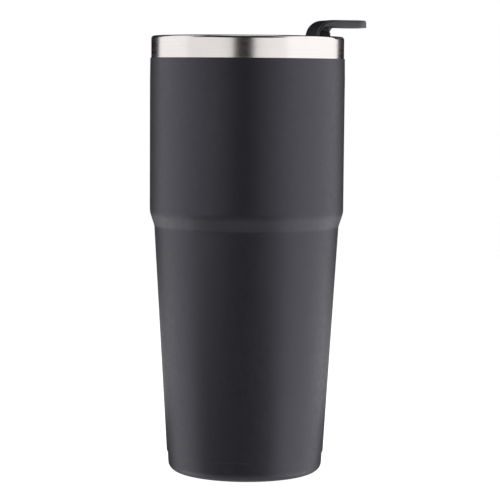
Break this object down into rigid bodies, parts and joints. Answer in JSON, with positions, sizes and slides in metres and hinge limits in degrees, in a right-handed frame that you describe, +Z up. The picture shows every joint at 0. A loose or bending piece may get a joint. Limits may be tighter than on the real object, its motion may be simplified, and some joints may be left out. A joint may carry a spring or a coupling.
{
  "type": "insulated tumbler with lid",
  "caption": "Tall vacuum-insulated steel tumbler with a tapering foot, a bare steel rim and a press-in lid whose flip lever shuts a drinking spout.",
  "frame": {"origin": "centre of the face of the foot pad, on the surface that the tumbler stands on", "axes": "+Z up along the tumbler's axis; +X towards the drinking spout and the lever's thumb tab; XZ is the plane of symmetry"},
  "size_m": [0.1011, 0.09, 0.2101],
  "materials": {
    "powder_coat": "matte charcoal powder coat",
    "brushed_band": "turned and brushed stainless steel",
    "plain_steel": "as-pressed stainless steel",
    "foil": "thin bright metal foil",
    "bead_glass": "fused sealing glass",
    "getter_metal": "sintered metal powder",
    "black_silicone": "matte silicone",
    "grey_silicone": "translucent grey silicone",
    "lid_plastic": "fine-textured black plastic",
    "lever_plastic": "satin black plastic",
    "soft_touch": "soft-touch overmould",
    "pin_steel": "ground stainless pin"
  },
  "bodies": {
    "vessel": {"outer_shell": "powder_coat", "inner_liner": "brushed_band", "liner_base": "plain_steel", "radiation_foil": "foil", "vacuum_base": "plain_steel", "seal_bead": "bead_glass", "getter_pill": "getter_metal", "getter_clip": "plain_steel", "base_cap": "powder_coat", "base_pad": "black_silicone"},
    "gasket": {"lid_gasket": "grey_silicone"},
    "lid": {"lid_top": "lid_plastic", "lid_base": "lid_plastic", "channel_seal": "grey_silicone", "vent_seal": "grey_silicone", "hinge_pin": "pin_steel"},
    "flip_lever": {"lever_core": "lever_plastic", "lever_pad": "soft_touch", "spout_stopper": "black_silicone", "vent_plug": "black_silicone"}
  },
  "joints": [
    {"name": "lid_lift", "type": "slide", "parent": "vessel", "child": "gasket", "axis": [0, 0, 1], "range_m": [0, 0.08]},
    {"name": "lid_turn", "type": "hinge", "parent": "gasket", "child": "lid", "pos_m": [0, 0, 0.1852], "axis": [0, 0, 1], "continuous": true},
    {"name": "lever_flip", "type": "hinge", "parent": "lid", "child": "flip_lever", "pos_m": [0.0155, 0, 0.1995], "axis": [0, -1, 0], "range_deg": [0, 150]}
  ]
}
